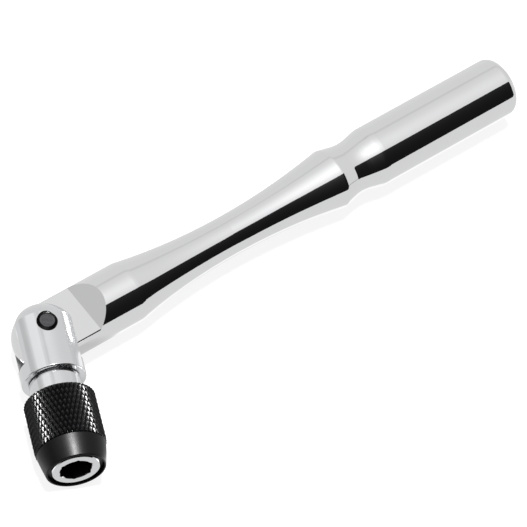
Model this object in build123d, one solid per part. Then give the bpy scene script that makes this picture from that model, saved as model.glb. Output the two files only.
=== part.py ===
from build123d import *
import math
import os

os.makedirs("parts", exist_ok=True)

# Spinner handle with a folding head that holds hexagon bits. Millimetres, +Z up.
# The origin is the centre of the bit socket's mouth. The head's axis is Y, and a bit leaves
# the socket towards -Y. The hinge pin is parallel to Z, and the handle lies in the XY plane.

# Pose at rest: how far the head is folded from straight, in degrees
fold_angle = 66

# Fits, as gaps on the radius or on one side
running_gap = 0.05
slot_side_gap = 0.1
slot_end_gap = 0.55
ride_gap = 0.05
stop_gap = 0.05
washer_gap = 0.1
ring_side_gap = 0.15

# How far cuts run past what they cut
overrun = 1.0

# Turned bar, the same thickness at the grip, the crest and both halves of the hinge
bar_radius = 6.75

# Hinge pin
pin_radius = 2.2
pin_stand_out = 0.2
pin_chamfer_wide = 0.62
pin_chamfer_deep = 0.3

# Handle, from the pin to the butt
tongue_half = 3.1
tongue_edge = 0.15
ramp_clearance = 2.7
ramp_run_share = 1.0
front_length = 7.75
waist_start_round = 5.0
waist_fall = 26.3
waist_depth = 2.33
waist_rise = 28.1
crest_round = 1.2
neck_half_length = 5.5
neck_depth = 1.13
neck_round = 11.0
grip_start_round = 6.0
grip_length = 37.0
butt_round = 1.9

# Fork of the head
dome_flattening = 0.45
ear_edge = 0.15
ear_countersink = 0.22

# Friction ball that holds the head at its angle, with its spring, its plug and the bit magnet
drag_ball_radius = 2.0
ball_to_plug = 4.2
drag_wire = 0.45
drag_coil_side_gap = 0.325
drag_turns = 2.5
plug_step = 0.5
plug_thick = 1.0
magnet_thick = 1.75

# Bit socket for a quarter inch hexagon shank, in the barrel
hex_across_flats = 6.4
socket_depth = 16.0
pilot_step = 0.12
mouth_chamfer = 0.12
barrel_wall = 1.365
barrel_edge = 0.15

# Retaining ring and the sleeve's lip behind it
ring_from_mouth = 0.65
ring_thick = 0.5
ring_groove_depth = 0.4
ring_stand_out = 0.64
ring_opening = 2.4
lip_length = 0.95

# Bit lock: one ball, held in by the sleeve's cone
sleeve_travel = 3.0
cone_slack = 0.75
lock_ball_radius = 1.0
lock_lift = 0.6
lock_seat_step = 0.15
lock_seat_below_ball = 0.66
land_to_ball = 2.15

# Washers and sleeve spring
washer_thick = 0.6
washer_width = 1.09
sleeve_coil_length = 5.3
sleeve_coil_gap = 0.41
sleeve_wire = 0.5
sleeve_turns = 3.5

# Collar and undercut behind the sleeve
collar_cover = 0.85
collar_show = 4.45
collar_step = 0.39
collar_edge = 0.15
undercut_length = 0.25
undercut_depth = 0.4
shoulder_round_share = 0.15

# Sleeve
sleeve_ahead = 0.2
sleeve_wall = 1.2
sleeve_back_round = 0.25
nose_length = 4.8
nose_step = 0.28
front_wall = 0.36
nose_sagitta = 0.05
nose_round = 0.3

# Places along the handle, from the pin
dome_radius = bar_radius + dome_flattening
tongue_flat_end = dome_radius + ramp_clearance
waist_start = tongue_flat_end + (bar_radius - tongue_half) * ramp_run_share + front_length
waist_at = waist_start + waist_fall
crest_at = waist_at + waist_rise
neck_at = crest_at + neck_half_length
grip_start = neck_at + neck_half_length
butt_at = grip_start + grip_length

# Places along the head, from the pin: the hinge's end of the socket, then the mouth
slot_floor = bar_radius + slot_end_gap
drag_ball_at = bar_radius + ride_gap + drag_ball_radius
drag_coil_end = drag_ball_at + ball_to_plug
magnet_at = drag_coil_end + plug_thick
socket_bottom = magnet_at + magnet_thick
mouth_at = socket_bottom + socket_depth

# Places along the head, from the pin, worked back from the mouth
sleeve_front = mouth_at + sleeve_ahead
ring_front = mouth_at - ring_from_mouth
ring_back = ring_front - ring_thick
lip_front = ring_back - stop_gap
lip_back = lip_front - lip_length
cone_end = lip_back - cone_slack
lock_at = cone_end - lock_ball_radius - sleeve_travel
land_start = lock_at - land_to_ball
sleeve_coil_end = land_start - washer_thick
seat_end = sleeve_coil_end - sleeve_coil_length
collar_end = seat_end - washer_thick
sleeve_back = collar_end - collar_cover
collar_start = sleeve_back - collar_show
shoulder_at = collar_start - undercut_length
knurl_end = sleeve_front - nose_length

# Radii of the head, from the hexagon outwards
hex_corner = hex_across_flats / math.sqrt(3)
pilot_radius = hex_across_flats / 2 + pilot_step
barrel_radius = hex_corner + barrel_wall
sleeve_bore = barrel_radius + running_gap
washer_radius = sleeve_bore + washer_width
chamber_radius = washer_radius + washer_gap
sleeve_radius = chamber_radius + sleeve_wall
ring_radius = barrel_radius + ring_stand_out
front_bore = ring_radius + ring_side_gap
nose_radius = front_bore + front_wall
collar_radius = barrel_radius + collar_step
undercut_radius = collar_radius - undercut_depth
groove_radius = barrel_radius - ring_groove_depth
plug_radius = drag_ball_radius + plug_step
lock_ball_height = barrel_radius - lock_ball_radius
lock_slope_share = lock_lift / sleeve_travel


def save(part, name):
    """Write one sub-part to its own file."""
    part.label = name
    export_step(part, f"parts/{name}.step")


def in_head(part):
    """Turn a piece drawn along +X from the pin on to the head's axis, at the head's place."""
    return Pos(0, mouth_at, 0) * Rot(0, 0, -90) * part


def in_handle(part):
    """Turn a piece drawn along +X from the pin on to the handle's axis."""
    return Pos(0, mouth_at, 0) * Rot(0, 0, 90 - fold_angle) * part


def turned(face):
    """A lathe part: a half outline in the XY plane, turned round the X axis."""
    return revolve(face, axis=Axis.X)


def half_outline(points):
    """A face between the X axis and a chain of straight lines from axis to axis."""
    return make_face(Polyline(*points, close=True))


def disc(start, end, radius):
    """A plain cylinder on the X axis."""
    return turned(half_outline([(start, 0), (start, radius), (end, radius), (end, 0)]))


def washer(start, end, inner, outer):
    """A flat ring on the X axis."""
    ring = make_face(Polyline((start, inner), (start, outer), (end, outer), (end, inner), close=True))
    return turned(ring)


def rounded(face, corners):
    """Round the corners of an outline, given as pairs of a corner and its radius."""
    for corner, radius in corners:
        face = fillet(face.vertices().sort_by_distance(corner)[0], radius)
    return face


def coil(start, end, radius, wire, turns):
    """One unbroken round wire on a helix round the X axis, as pairs of tangent arcs."""
    first = start + wire / 2
    climb = end - start - wire
    steps = round(turns * 4)
    lead = climb / (2 * math.pi * turns)
    points = []
    tangents = []
    for step in range(steps + 1):
        angle = step * 2 * math.pi * turns / steps
        points.append(Vector(first + lead * angle, radius * math.cos(angle), radius * math.sin(angle)))
        tangents.append(Vector(lead, -radius * math.sin(angle), radius * math.cos(angle)).normalized())
    arcs = []
    for step in range(steps):
        a, b = points[step], points[step + 1]
        at, bt = tangents[step], tangents[step + 1]
        span = b - a
        both = at + bt
        square = 2 * (1 - at.dot(bt))
        reach = (math.sqrt(span.dot(both) ** 2 + square * span.dot(span)) - span.dot(both)) / square
        control_a = a + at * reach
        control_b = b - bt * reach
        middle = (control_a + control_b) * 0.5
        arcs.append(Edge.make_tangent_arc(a, at, middle))
        arcs.append(Edge.make_tangent_arc(middle, control_b - control_a, b))
    path = Wire(arcs)
    section = Plane(origin=points[0], z_dir=tangents[0]) * Circle(wire / 2)
    samples = [path @ (i / (steps * 8)) for i in range(steps * 8 + 1)]
    gaps = [
        (p - q).length - wire
        for i, p in enumerate(samples)
        for q in samples[i + 16:]
    ]
    print("coil: least gap to itself", round(min(gaps), 3), "mm")
    return sweep(section, path=path)


def handle():
    """One turned and polished bar: tongue, waist, crest, neck and grip."""
    waist_radius = bar_radius - waist_depth
    neck_radius = bar_radius - neck_depth
    with BuildSketch() as outline:
        with BuildLine():
            CenterArc((0, 0), bar_radius, 90, 90)
            Line((0, bar_radius), (waist_start, bar_radius))
            TangentArc((waist_at, waist_radius), (waist_start, bar_radius), tangent=(-1, 0))
            TangentArc((waist_at, waist_radius), (crest_at, bar_radius), tangent=(1, 0))
            Polyline(
                (crest_at, bar_radius),
                (neck_at, neck_radius),
                (grip_start, bar_radius),
                (butt_at, bar_radius),
                (butt_at, 0),
                (-bar_radius, 0),
            )
        make_face()
    bar = rounded(outline.sketch, [
        ((waist_start, bar_radius), waist_start_round),
        ((crest_at, bar_radius), crest_round),
        ((neck_at, neck_radius), neck_round),
        ((grip_start, bar_radius), grip_start_round),
        ((butt_at, bar_radius), butt_round),
    ])
    bar = turned(bar)
    outside = bar_radius + overrun
    ramp_end = tongue_flat_end + (outside - tongue_half) * ramp_run_share
    side = Plane.XZ * make_face(Polyline(
        (-outside, tongue_half),
        (tongue_flat_end, tongue_half),
        (ramp_end, outside),
        (-outside, outside),
        close=True,
    ))
    cutter = extrude(side, outside, both=True)
    bar = bar - cutter - mirror(cutter, about=Plane.XY)
    rim = bar.edges().filter_by(lambda edge: abs(abs(edge.center().Z) - tongue_half) < overrun / 100)
    bar = chamfer(rim.filter_by(lambda edge: edge.center().X < tongue_flat_end - tongue_edge), tongue_edge)
    bar -= Cylinder(pin_radius + running_gap, 2 * outside)
    return in_handle(bar)


def head_body():
    """One turned piece: forked dome, collar and barrel, with the hexagon socket in its end."""
    dome_end = -math.sqrt(dome_radius ** 2 - bar_radius ** 2)
    shoulder_round = (bar_radius - undercut_radius) * shoulder_round_share
    with BuildSketch() as outline:
        with BuildLine():
            ThreePointArc(
                (-dome_radius, 0),
                (-dome_radius * math.cos(math.radians(45)), dome_radius * math.sin(math.radians(45))),
                (dome_end, bar_radius),
            )
            Polyline(
                (dome_end, bar_radius),
                (shoulder_at, bar_radius),
                (shoulder_at, undercut_radius),
                (collar_start, undercut_radius),
                (collar_start, collar_radius - collar_edge),
                (collar_start + collar_edge, collar_radius),
                (collar_end, collar_radius),
                (collar_end, barrel_radius),
                (mouth_at - barrel_edge, barrel_radius),
                (mouth_at, barrel_radius - barrel_edge),
                (mouth_at, 0),
                (-dome_radius, 0),
            )
        make_face()
    body = turned(rounded(outline.sketch, [((shoulder_at, bar_radius), shoulder_round)]))
    outside = dome_radius + overrun
    slot_half = tongue_half + slot_side_gap
    slot = make_face(Polyline(
        (-outside, -slot_half), (slot_floor, -slot_half), (slot_floor, slot_half), (-outside, slot_half),
        close=True,
    ))
    body -= extrude(Plane.XZ * slot, outside, both=True)
    rim = body.edges().filter_by(lambda edge: abs(abs(edge.center().Z) - slot_half) < overrun / 100)
    body = chamfer(rim.filter_by(GeomType.LINE, reverse=True), ear_edge)
    body -= Cylinder(pin_radius, 2 * outside)
    sink = turned_z([
        (0, bar_radius - ear_countersink),
        (pin_radius, bar_radius - ear_countersink),
        (pin_radius + ear_countersink + overrun, bar_radius + overrun),
        (0, bar_radius + overrun),
    ])
    body -= sink
    body -= mirror(sink, about=Plane.XY)
    body -= disc(slot_floor - overrun, drag_coil_end + overrun, drag_ball_radius + running_gap)
    body -= disc(drag_coil_end, socket_bottom + overrun, plug_radius)
    hexagon = RegularPolygon(hex_across_flats / 2, side_count=6, major_radius=False, rotation=30)
    body -= Pos(socket_bottom, 0, 0) * extrude(Plane.YZ * hexagon, socket_depth + overrun)
    body -= turned(half_outline([
        (socket_bottom, 0),
        (socket_bottom, pilot_radius),
        (mouth_at - mouth_chamfer, pilot_radius),
        (mouth_at + overrun, pilot_radius + mouth_chamfer + overrun),
        (mouth_at + overrun, 0),
    ]))
    body -= washer(
        ring_back - running_gap,
        ring_front + running_gap,
        groove_radius,
        barrel_radius + overrun,
    )
    body -= Pos(lock_at, 0, 0) * turned_z([
        (0, 0),
        (0, barrel_radius + overrun),
        (lock_ball_radius + running_gap, barrel_radius + overrun),
        (lock_ball_radius + running_gap, lock_ball_height - lock_seat_below_ball),
        (lock_ball_radius - lock_seat_step, lock_ball_height - lock_seat_below_ball),
        (lock_ball_radius - lock_seat_step, 0),
    ])
    return in_head(body)


def turned_z(points):
    """A part turned round the Z axis, from a half outline of radius and height."""
    return revolve(Plane.XZ * make_face(Polyline(*points, close=True)), axis=Axis.Z)


def hinge_pin():
    """A plain pin with chamfered ends that stand a little proud of the fork."""
    tip = bar_radius + pin_stand_out
    pin = turned_z([
        (0, -tip),
        (pin_radius - pin_chamfer_wide, -tip),
        (pin_radius, pin_chamfer_deep - tip),
        (pin_radius, tip - pin_chamfer_deep),
        (pin_radius - pin_chamfer_wide, tip),
        (0, tip),
    ])
    return in_head(pin)


def drag_ball():
    """The ball that rides on the tongue's round end."""
    return in_head(Pos(drag_ball_at, 0, 0) * Sphere(drag_ball_radius))


def drag_spring():
    """The short coil that presses the ball on the tongue."""
    coil_radius = drag_ball_radius + running_gap - drag_coil_side_gap - drag_wire / 2
    lean = math.sqrt((drag_ball_radius + drag_wire / 2) ** 2 - coil_radius ** 2)
    start = drag_ball_at + lean - drag_wire / 2 + ride_gap
    return in_head(coil(start, drag_coil_end, coil_radius, drag_wire, drag_turns))


def drag_plug():
    """The pressed plug behind the short coil."""
    return in_head(disc(drag_coil_end, magnet_at, plug_radius))


def bit_magnet():
    """The magnet at the bottom of the bit socket."""
    return in_head(disc(magnet_at, socket_bottom, plug_radius - running_gap))


def spring_seat():
    """The washer that the sleeve's spring pushes back on, against the collar's step."""
    return in_head(washer(collar_end, seat_end, sleeve_bore, washer_radius))


def sleeve_spring():
    """The coil that holds the sleeve forward."""
    coil_radius = barrel_radius + sleeve_coil_gap + sleeve_wire / 2
    return in_head(coil(seat_end, sleeve_coil_end, coil_radius, sleeve_wire, sleeve_turns))


def thrust_washer():
    """The washer between the coil and the sleeve, so that the sleeve turns without the coil."""
    return in_head(washer(sleeve_coil_end, land_start, sleeve_bore, washer_radius))


def lock_ball():
    """The ball that locks a bit, level with the barrel when the sleeve is forward."""
    return in_head(Pos(lock_at, 0, lock_ball_height) * Sphere(lock_ball_radius))


def retaining_ring():
    """The open ring in the barrel's groove that stops the sleeve's lip."""
    ring = washer(ring_back, ring_front, groove_radius + running_gap, ring_radius)
    across = ring_radius + overrun
    gap = Pos(ring_back, 0, -across / 2) * Box(2 * overrun, ring_opening, across)
    return in_head(ring - gap)


def sleeve():
    """The knurled sleeve with its smooth nose, spring chamber, locking cone and front lip."""
    cone_over_ball = lock_ball_height + (lock_ball_radius + running_gap) / math.cos(math.atan(lock_slope_share))
    cone_start = lock_at - (cone_over_ball - sleeve_bore) / lock_slope_share
    cone_radius = sleeve_bore + (cone_end - cone_start) * lock_slope_share
    nose_start_radius = sleeve_radius - nose_step
    with BuildSketch() as outline:
        with BuildLine():
            SagittaArc((knurl_end, nose_start_radius), (sleeve_front, nose_radius), nose_sagitta)
            Polyline(
                (sleeve_front, nose_radius),
                (sleeve_front, front_bore),
                (lip_front, front_bore),
                (lip_front, sleeve_bore),
                (lip_back, sleeve_bore),
                (lip_back, cone_radius),
                (cone_end, cone_radius),
                (cone_start, sleeve_bore),
                (land_start, sleeve_bore),
                (land_start, chamber_radius),
                (sleeve_back, chamber_radius),
                (sleeve_back, sleeve_radius),
                (knurl_end, sleeve_radius),
                (knurl_end, nose_start_radius),
            )
        make_face()
    shell = rounded(outline.sketch, [
        ((sleeve_front, nose_radius), nose_round),
        ((sleeve_back, sleeve_radius), sleeve_back_round),
    ])
    return in_head(turned(shell))


save(handle(), "handle")
save(head_body(), "head_body")
save(hinge_pin(), "hinge_pin")
save(drag_ball(), "drag_ball")
save(drag_spring(), "drag_spring")
save(drag_plug(), "drag_plug")
save(bit_magnet(), "bit_magnet")
save(spring_seat(), "spring_seat")
save(sleeve_spring(), "sleeve_spring")
save(thrust_washer(), "thrust_washer")
save(lock_ball(), "lock_ball")
save(retaining_ring(), "retaining_ring")
save(sleeve(), "sleeve")
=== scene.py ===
import math

import bpy
import numpy as np
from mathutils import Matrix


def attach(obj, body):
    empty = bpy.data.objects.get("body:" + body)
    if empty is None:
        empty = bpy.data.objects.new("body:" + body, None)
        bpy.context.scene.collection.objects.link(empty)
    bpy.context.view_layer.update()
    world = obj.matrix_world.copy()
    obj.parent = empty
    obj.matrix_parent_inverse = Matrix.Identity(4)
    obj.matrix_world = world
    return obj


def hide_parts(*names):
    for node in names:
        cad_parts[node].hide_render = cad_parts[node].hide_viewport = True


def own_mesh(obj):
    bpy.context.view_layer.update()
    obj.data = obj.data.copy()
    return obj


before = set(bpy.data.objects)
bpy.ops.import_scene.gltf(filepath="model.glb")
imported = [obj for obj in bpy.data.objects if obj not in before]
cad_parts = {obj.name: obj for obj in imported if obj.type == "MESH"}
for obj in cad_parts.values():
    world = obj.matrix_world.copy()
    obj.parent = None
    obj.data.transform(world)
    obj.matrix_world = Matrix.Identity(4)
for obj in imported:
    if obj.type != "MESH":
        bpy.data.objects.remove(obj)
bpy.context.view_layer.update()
scene = bpy.context.scene
scene.view_settings.view_transform = "Standard"

# The frame's lengths are metres. The head's pieces are worked out here in millimetres from the
# hinge pin along the head's axis, and put in place with these two numbers.
MILLIMETRE = 0.001
PIN_TO_MOUTH = 31.75
BAR_TURN = math.radians(24)
CREASE_ANGLE = 30

# Knurled sleeve, in millimetres
SLEEVE_RADIUS = 7.5
SLEEVE_BACK = 15.35
SLEEVE_BACK_ROUND = 0.25
SLEEVE_FRONT = 31.95
KNURL_END = 27.15
KNURL_RUN_OUT = 0.42
KNURL_RUN_OUT_SLOPE = 0.7
KNURLS_AROUND = 48
KNURL_STEPS = 6
KNURL_ROWS = 56
KNURL_DEPTH = 0.4
KNURL_FLAT_SHARE = 0.74
KNURL_CROWN = 0.03
KNURL_FIRST_ROW = 2
KNURL_TURN = -0.7
RELIEF_RADIUS = 7.04
RELIEF_START = 0.15
RELIEF_STOP = 0.02
NOSE_EDGE = 0.06
NOSE_START_RADIUS = 7.22
NOSE_FRONT_RADIUS = 6.21
NOSE_BELLY = 0.05
NOSE_ROUND = 0.3
NOSE_RINGS = 14
ROUND_RINGS = 8

# Inside of the sleeve, in millimetres
FRONT_BORE = 5.85
LIP_FRONT = 30.55
LIP_BACK = 29.6
SLEEVE_BORE = 5.11
CONE_RADIUS = 5.931
CONE_FRONT = 28.85
CONE_BACK = 24.746
LAND_BACK = 22.72
CHAMBER_RADIUS = 6.3

# Coil behind the sleeve, in millimetres
COIL_SEAT = 16.8
COIL_FRONT = 22.1
COIL_RADIUS = 5.72
COIL_WIRE = 0.5
COIL_TURNS = 3.5
COIL_STEPS = 112
COIL_SIDES = 12

# Where the painted shade and the finishes change, in metres from the socket's mouth, from an axis or from
# the middle plane
UNDERCUT = (0.02087, 0.02108)
UNDERCUT_SOFT = 0.00002
UNDERCUT_RADIUS = (0.00528, 0.00532)
SOCKET_MOUTH = (0.00012, 0.00016)
SOCKET_RADIUS = (0.00372, 0.00376)
FORK_FLOOR = (0.02425, 0.02435)
FORK_HALF_WIDTH = (0.00318, 0.00322)
KNURL_EDGE = (0.0046, 0.0047)
RUBBED_RADIUS = (0.00742, 0.0075)
PIN_CHAMFER = (0.00152, 0.00162)
RELIEF_OF_MARKS = 0.0001

# Floor: its size and height in metres, and its brightness
FLOOR_HALF_SIZE = 3.0
FLOOR_HEIGHT = -0.00752
FLOOR_TO_CAMERA = 0.86
FLOOR_IN_MIRRORS = 0.80
FLOOR_UNDER_CARD = 0.02

# Room: brightness of the sky, of the glow at its top and of the lamp
SKY = 0.785
GLOW = 0.62
GLOW_FALL = 11
LAMP = 320
CARD_SLOPE = 1.75

# The photograph's view, fitted to the outline
CAMERA_PLACE = (-0.16819, -0.401262, 0.70841)
CAMERA_TURN = (0.593741, -0.149859, -0.2381)
CAMERA_LENS = 281.36
SENSOR_WIDTH = 36
NEAR_LIMIT = 0.01
FAR_LIMIT = 20

WHITE = (1, 1, 1, 1)


class Wire:
    """A value in a node tree. Arithmetic on it adds the tree's own Math nodes."""

    def __init__(self, tree, socket=None):
        self.tree = tree
        self.socket = socket

    def add(self, kind, settings=None, values=None, output=0):
        """Add a node of any type: its settings first, then the values or links of its inputs."""
        node = self.tree.nodes.new(kind)
        for name, setting in (settings or {}).items():
            setattr(node, name, setting)
        for name, value in (values or {}).items():
            if isinstance(value, Wire):
                self.tree.links.new(value.socket, node.inputs[name])
            else:
                node.inputs[name].default_value = value
        return Wire(self.tree, node.outputs[output] if node.outputs else None)

    def maths(self, operation, *values):
        return self.add("ShaderNodeMath", {"operation": operation}, dict(enumerate(values)))

    def __add__(self, other):
        return self.maths("ADD", self, other)

    def __radd__(self, other):
        return self.maths("ADD", other, self)

    def __sub__(self, other):
        return self.maths("SUBTRACT", self, other)

    def __rsub__(self, other):
        return self.maths("SUBTRACT", other, self)

    def __mul__(self, other):
        return self.maths("MULTIPLY", self, other)

    def __rmul__(self, other):
        return self.maths("MULTIPLY", other, self)

    def __truediv__(self, other):
        return self.maths("DIVIDE", self, other)

    def __pow__(self, other):
        return self.maths("POWER", self, other)


def other_output(wire, name):
    """Another output of the node that the wire comes from."""
    return Wire(wire.tree, wire.socket.node.outputs[name])


def rise(value, start, end):
    """A smooth step from 0 at start to 1 at end."""
    return value.add(
        "ShaderNodeMapRange",
        {"interpolation_type": "SMOOTHSTEP"},
        {"Value": value, "From Min": start, "From Max": end},
    )


def band(value, start, end, soft):
    """1 between start and end, falling to 0 over the soft width on each side."""
    return rise(value, start - soft, start) * (1 - rise(value, end, end + soft))


def dot(tree, place, direction):
    """How far a place or a look reaches in a direction."""
    return tree.add(
        "ShaderNodeVectorMath", {"operation": "DOT_PRODUCT"}, {0: place, 1: direction}, "Value")


def blend_colour(tree, share, first, second):
    """The first colour where share is 0, the second where it is 1."""
    return tree.add("ShaderNodeMix", {"data_type": "RGBA"}, {0: share, 6: first, 7: second}, 2)


def point_on_piece(tree):
    """Object coordinates."""
    return tree.add("ShaderNodeTexCoord", output="Object")


def parts_of_point(tree, point):
    """The point's place across the head, along its axis and up from its middle plane."""
    across = tree.add("ShaderNodeSeparateXYZ", values={"Vector": point}, output="X")
    return across, other_output(across, "Y"), other_output(across, "Z")


def reach(first, second):
    """The length of two parts at a right angle."""
    return (first * first + second * second) ** 0.5


def noise(tree, point, scale, detail):
    """Even noise from 0 to 1, in lumps of one over scale metres."""
    return tree.add(
        "ShaderNodeTexNoise",
        values={"Vector": point, "Scale": scale, "Detail": detail, "Roughness": 0.5},
    )


def relief(tree, strength, marks):
    """Bumps that follow the marks."""
    return tree.add(
        "ShaderNodeBump", values={"Strength": strength, "Distance": RELIEF_OF_MARKS, "Height": marks})


def new_finish(name, **constants):
    """A material with one Principled shader whose constant inputs are set on their own sockets."""
    finish = bpy.data.materials.new(name)
    finish.use_nodes = True
    shader = finish.node_tree.nodes["Principled BSDF"]
    for socket, value in constants.items():
        shader.inputs[socket.replace("_", " ")].default_value = value
    return finish, Wire(finish.node_tree), shader


def feed(shader, socket, wire):
    wire.tree.links.new(wire.socket, shader.inputs[socket])


def polished_chrome():
    """Mirror chrome of the bar: faint haze patches and the finest of polishing marks."""
    finish, tree, shader = new_finish("polished_chrome_bar", Metallic=1.0)
    point = point_on_piece(tree)
    haze = noise(tree, point, 120, 4)
    marks = noise(tree, point, 2600, 2)
    feed(shader, "Base Color", blend_colour(tree, haze, (0.785, 0.787, 0.793, 1), (0.81, 0.813, 0.82, 1)))
    feed(shader, "Roughness", 0.01 + haze * 0.03)
    feed(shader, "Normal", relief(tree, 0.015, marks))
    return finish


def bright_chrome():
    """Bright chrome of the head, with painted shade making its shoulder groove, slot and bore near black.
    """
    finish, tree, shader = new_finish("bright_chrome_head", Metallic=1.0)
    point = point_on_piece(tree)
    across, along, upward = parts_of_point(tree, point)
    distance = reach(across, upward)
    height = tree.maths("ABSOLUTE", upward)
    haze = noise(tree, point, 260, 4)
    # Painted shade: the shoulder groove, the socket's bore and the slot between the ears, near black and
    # rougher.
    undercut_shade = band(along, *UNDERCUT, UNDERCUT_SOFT) * (1 - rise(distance, *UNDERCUT_RADIUS))
    socket = rise(along, *SOCKET_MOUTH) * (1 - rise(distance, *SOCKET_RADIUS))
    fork_shade = rise(along, *FORK_FLOOR) * (1 - rise(height, *FORK_HALF_WIDTH))
    dark = undercut_shade + socket + fork_shade
    plated = blend_colour(tree, haze, (0.73, 0.735, 0.745, 1), (0.76, 0.765, 0.775, 1))
    feed(shader, "Base Color", blend_colour(tree, dark, plated, (0.03, 0.03, 0.032, 1)))
    feed(shader, "Roughness", 0.09 + haze * 0.06 + dark * 0.3)
    feed(shader, "Normal", relief(tree, 0.02, noise(tree, point, 1800, 2)))
    return finish


def black_oxide():
    """Oiled black finish of the sleeve, a little paler where the knurl's points are rubbed."""
    finish, tree, shader = new_finish("black_knurled_sleeve", Metallic=0.0, Specular_IOR_Level=0.18)
    point = point_on_piece(tree)
    across, along, upward = parts_of_point(tree, point)
    grain = noise(tree, point, 900, 4)
    rubbed = rise(reach(across, upward), *RUBBED_RADIUS) * grain
    knurled = rise(along, *KNURL_EDGE)
    feed(shader, "Base Color", blend_colour(
        tree, rubbed, (0.001, 0.001, 0.0012, 1), (0.015, 0.015, 0.016, 1)))
    feed(shader, "Roughness", 0.33 + grain * 0.06 - knurled * 0.11)
    feed(shader, "Normal", relief(tree, 0.03, grain))
    return finish


def blackened_ring():
    """The retaining ring: blackened steel with a faint grain."""
    finish, tree, shader = new_finish("blackened_ring", Metallic=1.0)
    grain = noise(tree, point_on_piece(tree), 1500, 4)
    feed(shader, "Base Color", blend_colour(
        tree, grain, (0.03, 0.03, 0.032, 1), (0.0405, 0.0405, 0.0432, 1)))
    feed(shader, "Roughness", 0.3 + grain * 0.12)
    feed(shader, "Normal", relief(tree, 0.05, grain))
    return finish


def blackened_pin():
    """The hinge pin: dull dark grey ends, with painted shade making the bevelled rims round them near
    black.
    """
    finish, tree, shader = new_finish("blackened_pin", Metallic=1.0)
    point = point_on_piece(tree)
    across, along, upward = parts_of_point(tree, point)
    # Painted shade: the bevelled rim round each pin end is made near black.
    chamfer_shade = rise(reach(across, along - PIN_TO_MOUTH * MILLIMETRE), *PIN_CHAMFER)
    grain = noise(tree, point, 1500, 4)
    face = blend_colour(tree, grain, (0.045, 0.045, 0.048, 1), (0.065, 0.065, 0.068, 1))
    feed(shader, "Base Color", blend_colour(tree, chamfer_shade, face, (0.003, 0.003, 0.003, 1)))
    feed(shader, "Roughness", 0.25 + grain * 0.12)
    feed(shader, "Normal", relief(tree, 0.05, grain))
    return finish


def plain_steel(name, colour, roughness, scale):
    """Bare or nickelled steel with fine ground marks, for the pieces inside the head."""
    finish, tree, shader = new_finish(name, Metallic=1.0)
    marks = noise(tree, point_on_piece(tree), scale, 5)
    pale = tuple(part * 1.12 for part in colour[:3]) + (1,)
    feed(shader, "Base Color", blend_colour(tree, marks, colour, pale))
    feed(shader, "Roughness", roughness + marks * 0.15)
    feed(shader, "Normal", relief(tree, 0.04, marks))
    return finish


def knurl_radius(turn, along):
    """Radius of a diamond knurl: two families of V grooves on crossed helices.

    Each family is a triangle wave of the helix's own number, the turn in knurls plus or minus the
    length in knurls, and the larger wave, doubled, is the fall from crest to groove. The flanks
    bulge a little: the fall is its flat share plus the rest times itself, times the depth.
    """
    right = turn + along
    left = turn - along
    fall = 2 * np.maximum(np.abs(right - np.round(right)), np.abs(left - np.round(left)))
    fall = fall * (KNURL_FLAT_SHARE + (1 - KNURL_FLAT_SHARE) * fall)
    return SLEEVE_RADIUS + KNURL_CROWN - KNURL_DEPTH * fall


def knurled_rows(columns):
    """Length of each knurled row, and its radius at each column.

    The radius is the smaller of the knurl and the turned outline, which is rounded at the back
    and falls towards the relief at the front.
    """
    row_step = (KNURL_END - SLEEVE_BACK) / KNURL_ROWS
    rows = np.arange(KNURL_ROWS)
    along = SLEEVE_BACK + rows * row_step
    inward = np.clip(SLEEVE_BACK_ROUND - (along - SLEEVE_BACK), 0, None)
    back = SLEEVE_RADIUS - SLEEVE_BACK_ROUND + np.sqrt(SLEEVE_BACK_ROUND ** 2 - inward ** 2)
    run_out = KNURL_RUN_OUT_SLOPE * np.clip(along - KNURL_END + KNURL_RUN_OUT, 0, None)
    limit = np.minimum(back, SLEEVE_RADIUS - run_out)
    columns_in_knurls = np.arange(columns) / (2 * KNURL_STEPS)
    rows_in_knurls = (rows - KNURL_FIRST_ROW) / (2 * KNURL_STEPS)
    knurl = knurl_radius(columns_in_knurls[None, :], rows_in_knurls[:, None])
    return along, np.minimum(knurl, limit[:, None])


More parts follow.
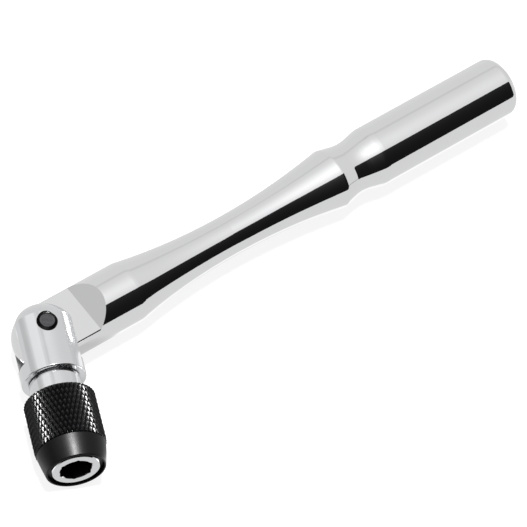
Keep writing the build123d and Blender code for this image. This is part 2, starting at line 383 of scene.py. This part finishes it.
def nose_outline():
    """Length and radius of the relief, the nose and the bores, from the knurl's end round to the back.

    The nose is a straight fall with a shallow parabola added, and ends in an arc that leaves it
    without a corner: the arc starts at the angle at which the parabola falls there.
    """
    fall = math.atan2(NOSE_START_RADIUS - NOSE_FRONT_RADIUS, SLEEVE_FRONT - KNURL_END)
    chord = math.hypot(NOSE_START_RADIUS - NOSE_FRONT_RADIUS, SLEEVE_FRONT - KNURL_END)
    end_fall = fall + 4 * NOSE_BELLY / chord
    round_centre = SLEEVE_FRONT - NOSE_ROUND
    round_height = NOSE_FRONT_RADIUS + NOSE_ROUND * (math.tan(end_fall) - 1 / math.cos(end_fall))
    nose_stop = round_centre + NOSE_ROUND * math.sin(end_fall)
    nose_along = np.linspace(KNURL_END + NOSE_EDGE, nose_stop, NOSE_RINGS)
    share = (nose_along - KNURL_END) / (SLEEVE_FRONT - KNURL_END)
    nose_height = NOSE_START_RADIUS + share * (NOSE_FRONT_RADIUS - NOSE_START_RADIUS)
    nose_height = nose_height + 4 * NOSE_BELLY * share * (1 - share) / math.cos(fall)
    bend = np.linspace(end_fall, math.pi / 2, ROUND_RINGS)[1:]
    relief_groove = np.array([
        (KNURL_END - RELIEF_START, RELIEF_RADIUS),
        (KNURL_END - RELIEF_STOP, RELIEF_RADIUS),
        (KNURL_END, NOSE_START_RADIUS - NOSE_EDGE),
    ])
    inside = np.array([
        (SLEEVE_FRONT, FRONT_BORE),
        (LIP_FRONT, FRONT_BORE),
        (LIP_FRONT, SLEEVE_BORE),
        (LIP_BACK, SLEEVE_BORE),
        (LIP_BACK, CONE_RADIUS),
        (CONE_FRONT, CONE_RADIUS),
        (CONE_BACK, SLEEVE_BORE),
        (LAND_BACK, SLEEVE_BORE),
        (LAND_BACK, CHAMBER_RADIUS),
        (SLEEVE_BACK, CHAMBER_RADIUS),
    ])
    return np.concatenate([
        relief_groove,
        np.stack([nose_along, nose_height], 1),
        np.stack([round_centre + NOSE_ROUND * np.sin(bend), round_height + NOSE_ROUND * np.cos(bend)], 1),
        inside,
    ])


def knurled_sleeve():
    """The sleeve as one closed turned surface, knurled between its back and its smooth nose.

    The outline is carried round the head's axis. Row and column steps divide the knurl evenly, so
    its points, its grooves and their crossings all fall on vertices, and each cell is cut into
    triangles along its own groove or crest.
    """
    columns = KNURLS_AROUND * 2 * KNURL_STEPS
    along, knurl = knurled_rows(columns)
    plain = nose_outline()
    length = np.concatenate([np.repeat(along[:, None], columns, 1), np.repeat(plain[:, :1], columns, 1)])
    radius = np.concatenate([knurl, np.repeat(plain[:, 1:], columns, 1)])
    angle = (np.arange(columns) * 2 * math.pi / columns)[None, :] + math.radians(KNURL_TURN)
    points = np.stack([
        radius * np.sin(angle),
        PIN_TO_MOUTH - length,
        radius * np.cos(angle),
    ], -1) * MILLIMETRE

    count = len(length)
    number = np.arange(count * columns).reshape(count, columns)
    a = number
    b = np.roll(number, -1, 1)
    c = np.roll(b, -1, 0)
    d = np.roll(a, -1, 0)
    row_cell = (np.arange(count)[:, None] - KNURL_FIRST_ROW) // KNURL_STEPS
    column_cell = np.arange(columns)[None, :] // KNURL_STEPS
    crossed = ((row_cell + column_cell) % 2 == 0)[..., None]
    first = np.where(crossed, np.stack([a, d, b], -1), np.stack([a, c, b], -1))
    second = np.where(crossed, np.stack([b, d, c], -1), np.stack([a, d, c], -1))
    faces = np.concatenate([first.reshape(-1, 3), second.reshape(-1, 3)])
    return surface("knurled_sleeve", points.reshape(-1, 3), faces)


def sleeve_coil():
    """The sleeve's coil as one closed tube: circles of wire square to a helix, with flat ends.

    The helix climbs evenly from the seat to the washer. Round each of its points the circle is
    spanned by the outward direction and the one square to it and to the helix.
    """
    share = np.linspace(0, 1, COIL_STEPS + 1)[:, None]
    angle = share * COIL_TURNS * 2 * math.pi
    climb = COIL_FRONT - COIL_SEAT - COIL_WIRE
    length = COIL_SEAT + COIL_WIRE / 2 + climb * share
    level = np.zeros_like(angle)
    outward = np.concatenate([np.cos(angle), level, np.sin(angle)], 1)
    centre = COIL_RADIUS * outward + np.concatenate([level, PIN_TO_MOUTH - length, level], 1)
    lead = climb / (COIL_TURNS * 2 * math.pi)
    path = np.concatenate([-COIL_RADIUS * np.sin(angle), level - lead, COIL_RADIUS * np.cos(angle)], 1)
    path = path / math.hypot(COIL_RADIUS, lead)
    square = np.cross(path, outward)
    side = (np.arange(COIL_SIDES) * 2 * math.pi / COIL_SIDES)[None, :, None]
    tube = centre[:, None] + COIL_WIRE / 2 * (
        np.cos(side) * outward[:, None] + np.sin(side) * square[:, None])
    points = np.concatenate([tube.reshape(-1, 3), centre[:1], centre[-1:]]) * MILLIMETRE

    number = np.arange((COIL_STEPS + 1) * COIL_SIDES).reshape(COIL_STEPS + 1, COIL_SIDES)
    after = np.roll(number, -1, 1)
    a = number[:-1]
    b = after[:-1]
    c = after[1:]
    d = number[1:]
    first_end = np.full(COIL_SIDES, number.size)
    last_end = first_end + 1
    faces = np.concatenate([
        np.stack([a, b, c], -1).reshape(-1, 3),
        np.stack([a, c, d], -1).reshape(-1, 3),
        np.stack([after[0], number[0], first_end], -1),
        np.stack([number[-1], after[-1], last_end], -1),
    ])
    return surface("sleeve_coil", points, faces)


def surface(name, points, faces):
    """A mesh object from arrays of points and triangles, smooth except at creases."""
    mesh = bpy.data.meshes.new(name)
    mesh.from_pydata(points.tolist(), [], faces.tolist())
    mesh.polygons.foreach_set("use_smooth", np.ones(len(mesh.polygons), bool))
    mesh.set_sharp_from_angle(angle=math.radians(CREASE_ANGLE))
    mesh.update()
    piece = bpy.data.objects.new(name, mesh)
    scene.collection.objects.link(piece)
    return piece


def dress(node, finish):
    """Give a node of the frame its finish in every slot."""
    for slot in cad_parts[node].material_slots:
        slot.material = finish


def floor_in_mirrors(tree, point):
    """How bright the floor is in reflections: pale, with patches of painted light and painted shade whose
    edges are in metres.
    """
    right = dot(tree, point, (1, 0, 0))
    away = dot(tree, point, (0, 1, 0))
    down_the_bar = dot(tree, point, (math.cos(BAR_TURN), math.sin(BAR_TURN), 0))
    front = dot(tree, point, (-math.sin(BAR_TURN), math.cos(BAR_TURN), 0))
    front = front - PIN_TO_MOUTH * MILLIMETRE * math.cos(BAR_TURN)
    # Painted light: a brighter strip of floor beside the bar, beyond the head, seen only in reflections.
    painted_light_below_bar = band(front, -0.0075, -0.0045, 0.0008) * rise(down_the_bar, 0.028, 0.031)
    # Painted shade: a darker patch of floor near the head, seen only in reflections.
    between = band(right, 0.007, 0.036, 0.003) * band(away, 0.018, 0.032, 0.003)
    between = between * (1 - rise(down_the_bar, 0.024, 0.03))
    # Painted light: bright patches of floor on either side of the nose, seen only in reflections.
    painted_light_beside_nose = 2.4 * band(right, 0.012, 0.034, 0.002) + 0.5 * band(right, -0.03, -0.012, 0.003)
    painted_light_beside_nose = band(away, -0.012, 0.005, 0.002) * painted_light_beside_nose
    # Painted shade: a darker patch of floor far to the left, seen only in reflections.
    far_left = (1 - rise(right, -0.06, -0.03)) * (1 - rise(away, 0.01, 0.03))
    foot_of_card = 1 - rise(front, -0.42, -0.38)
    strength = FLOOR_IN_MIRRORS + 0.32 * painted_light_below_bar - 0.16 * between + painted_light_beside_nose - 0.45 * far_left
    return strength * (1 - foot_of_card) + FLOOR_UNDER_CARD * foot_of_card


def pale_floor():
    """A wide pale floor just under the sleeve, white to the camera where nothing shades it."""
    corners = [(-1, -1), (1, -1), (1, 1), (-1, 1)]
    mesh = bpy.data.meshes.new("floor")
    mesh.from_pydata(
        [(x * FLOOR_HALF_SIZE, y * FLOOR_HALF_SIZE, FLOOR_HEIGHT) for x, y in corners],
        [], [(0, 1, 2, 3)])
    floor = bpy.data.objects.new("floor", mesh)
    scene.collection.objects.link(floor)
    finish = bpy.data.materials.new("pale_floor")
    finish.use_nodes = True
    finish.node_tree.nodes.clear()
    tree = Wire(finish.node_tree)
    seen = tree.add("ShaderNodeLightPath", output="Is Camera Ray")
    mirror = other_output(seen, "Is Glossy Ray") + other_output(seen, "Is Transmission Ray")
    point = point_on_piece(tree)
    cloud = noise(tree, point, 4, 3)
    shade = blend_colour(tree, cloud, (0.13, 0.13, 0.13, 1), (0.15, 0.15, 0.15, 1))
    paint = tree.add("ShaderNodeBsdfDiffuse", values={"Color": shade, "Roughness": 0.0})
    lit = tree.add("ShaderNodeEmission", values={"Color": WHITE, "Strength": seen * FLOOR_TO_CAMERA})
    shown = tree.add("ShaderNodeAddShader", values={0: paint, 1: lit})
    # In reflections the floor shows the painted light and painted shade of floor_in_mirrors.
    strength = floor_in_mirrors(tree, point)
    pale = tree.add("ShaderNodeEmission", values={"Color": WHITE, "Strength": strength})
    both = tree.add("ShaderNodeMixShader", values={0: mirror, 1: shown, 2: pale})
    tree.add("ShaderNodeOutputMaterial", values={"Surface": both})
    mesh.materials.append(finish)


def room_light(room):
    """Brightness of the room in each direction: sky, glow and lamp, and the long dark card.

    The card stands along the bar on the camera's side. Its upper edge is where the height is the
    card's slope times the way to the front, and its far end bows inwards at top and bottom.
    """
    look = room.add("ShaderNodeTexCoord", output="Generated")

    def towards(*direction):
        size = math.hypot(*direction)
        return dot(room, look, tuple(part / size for part in direction))

    up = towards(0, 0, 1)
    left = towards(-1, 0, 0)
    back = towards(-math.sin(BAR_TURN), math.cos(BAR_TURN), 0)
    outward = towards(math.cos(BAR_TURN), math.sin(BAR_TURN), 0)
    middle = towards(0.02, -0.05, 1)
    seam = towards(0.265, -0.596, 0.758)

    glow = GLOW * room.maths("EXPONENT", (middle - 1) * GLOW_FALL)
    far_left = rise(left, 0.77, 0.84)
    near_left = band(left, 0.42, 0.72, 0.06)
    head_seam = band(left, 0.17, 0.25, 0.03) * rise(up, 0.6, 0.7)
    bar_seam = 0.075 * band(seam, -0.045, 0.09, 0.02) + 0.04 * band(seam, -0.008, 0.012, 0.006)
    bar_seam = bar_seam * (1 - rise(left, 0.2, 0.3))
    dark_left = rise(left, 0.88, 0.93) * (1 - rise(up, 0.26, 0.33)) * (1 - rise(back, 0.6, 0.7))
    lamp_across = (towards(1, 0, 0) + 0.04) / 0.095
    lamp_along = (towards(0, 1, 0) - 0.01) / 0.11
    lamp = (1 - rise(lamp_across ** 2 + lamp_along ** 2, 0.6, 1.1)) * rise(up, 0, 0.1)
    sky = SKY + glow + 0.2 * near_left - 0.15 * far_left - 0.12 * head_seam - bar_seam
    sky = sky - 0.5 * dark_left + LAMP * lamp

    to_front = -CARD_SLOPE * back
    slope = room.maths("MINIMUM", up / room.maths("MAXIMUM", to_front, 0.001), 1)
    near_lamp = 1 - rise(outward, 0.1, 0.35)
    card = 0.009 + (0.017 + 0.045 * near_lamp) * slope * slope
    from_middle = 2 * slope - 1
    on_card = rise(to_front - up, 0.0, 0.012) * rise(up, -0.006, -0.002)
    on_card = on_card * (1 - rise(outward + 0.035 * from_middle * from_middle, 0.73, 0.742))
    return sky * (1 - on_card) + card * on_card


def studio():
    """The room round the object, plain white to the camera."""
    world = bpy.data.worlds.new("studio")
    scene.world = world
    world.use_nodes = True
    world.node_tree.nodes.clear()
    room = Wire(world.node_tree)
    camera = room.add("ShaderNodeLightPath", output="Is Camera Ray")
    seen = room.add("ShaderNodeBackground", values={"Color": WHITE, "Strength": 1.0})
    cast = room.add("ShaderNodeBackground", values={"Color": WHITE, "Strength": room_light(room)})
    both = room.add("ShaderNodeMixShader", values={0: camera, 1: cast, 2: seen})
    room.add("ShaderNodeOutputWorld", values={"Surface": both})


def photograph_view():
    """The camera, from where the photograph was taken."""
    lens = bpy.data.cameras.new("camera")
    lens.lens = CAMERA_LENS
    lens.sensor_width = SENSOR_WIDTH
    lens.clip_start = NEAR_LIMIT
    lens.clip_end = FAR_LIMIT
    eye = bpy.data.objects.new("camera", lens)
    eye.location = CAMERA_PLACE
    eye.rotation_euler = CAMERA_TURN
    scene.collection.objects.link(eye)
    scene.camera = eye


studio()
pale_floor()
photograph_view()

black = black_oxide()
ball_steel = plain_steel("polished_ball_steel", (0.6, 0.6, 0.61, 1), 0.08, 900)
spring_steel = plain_steel("spring_wire_steel", (0.5, 0.5, 0.52, 1), 0.25, 2200)
washer_steel = plain_steel("stamped_washer_steel", (0.55, 0.55, 0.56, 1), 0.3, 1400)

dress("handle", polished_chrome())
dress("head_body", bright_chrome())
dress("hinge_pin", blackened_pin())
dress("retaining_ring", blackened_ring())
dress("drag_ball", ball_steel)
dress("lock_ball", ball_steel)
dress("drag_spring", spring_steel)
dress("sleeve_spring", spring_steel)
dress("spring_seat", washer_steel)
dress("thrust_washer", washer_steel)
dress("drag_plug", washer_steel)
dress("bit_magnet", plain_steel("nickelled_magnet", (0.62, 0.6, 0.56, 1), 0.18, 700))
dress("sleeve", black)

sleeve = knurled_sleeve()
sleeve.data.materials.append(black)
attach(sleeve, "sleeve")
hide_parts("sleeve")

coil = sleeve_coil()
coil.data.materials.append(spring_steel)
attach(coil, "head")
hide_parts("sleeve_spring")
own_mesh(coil)
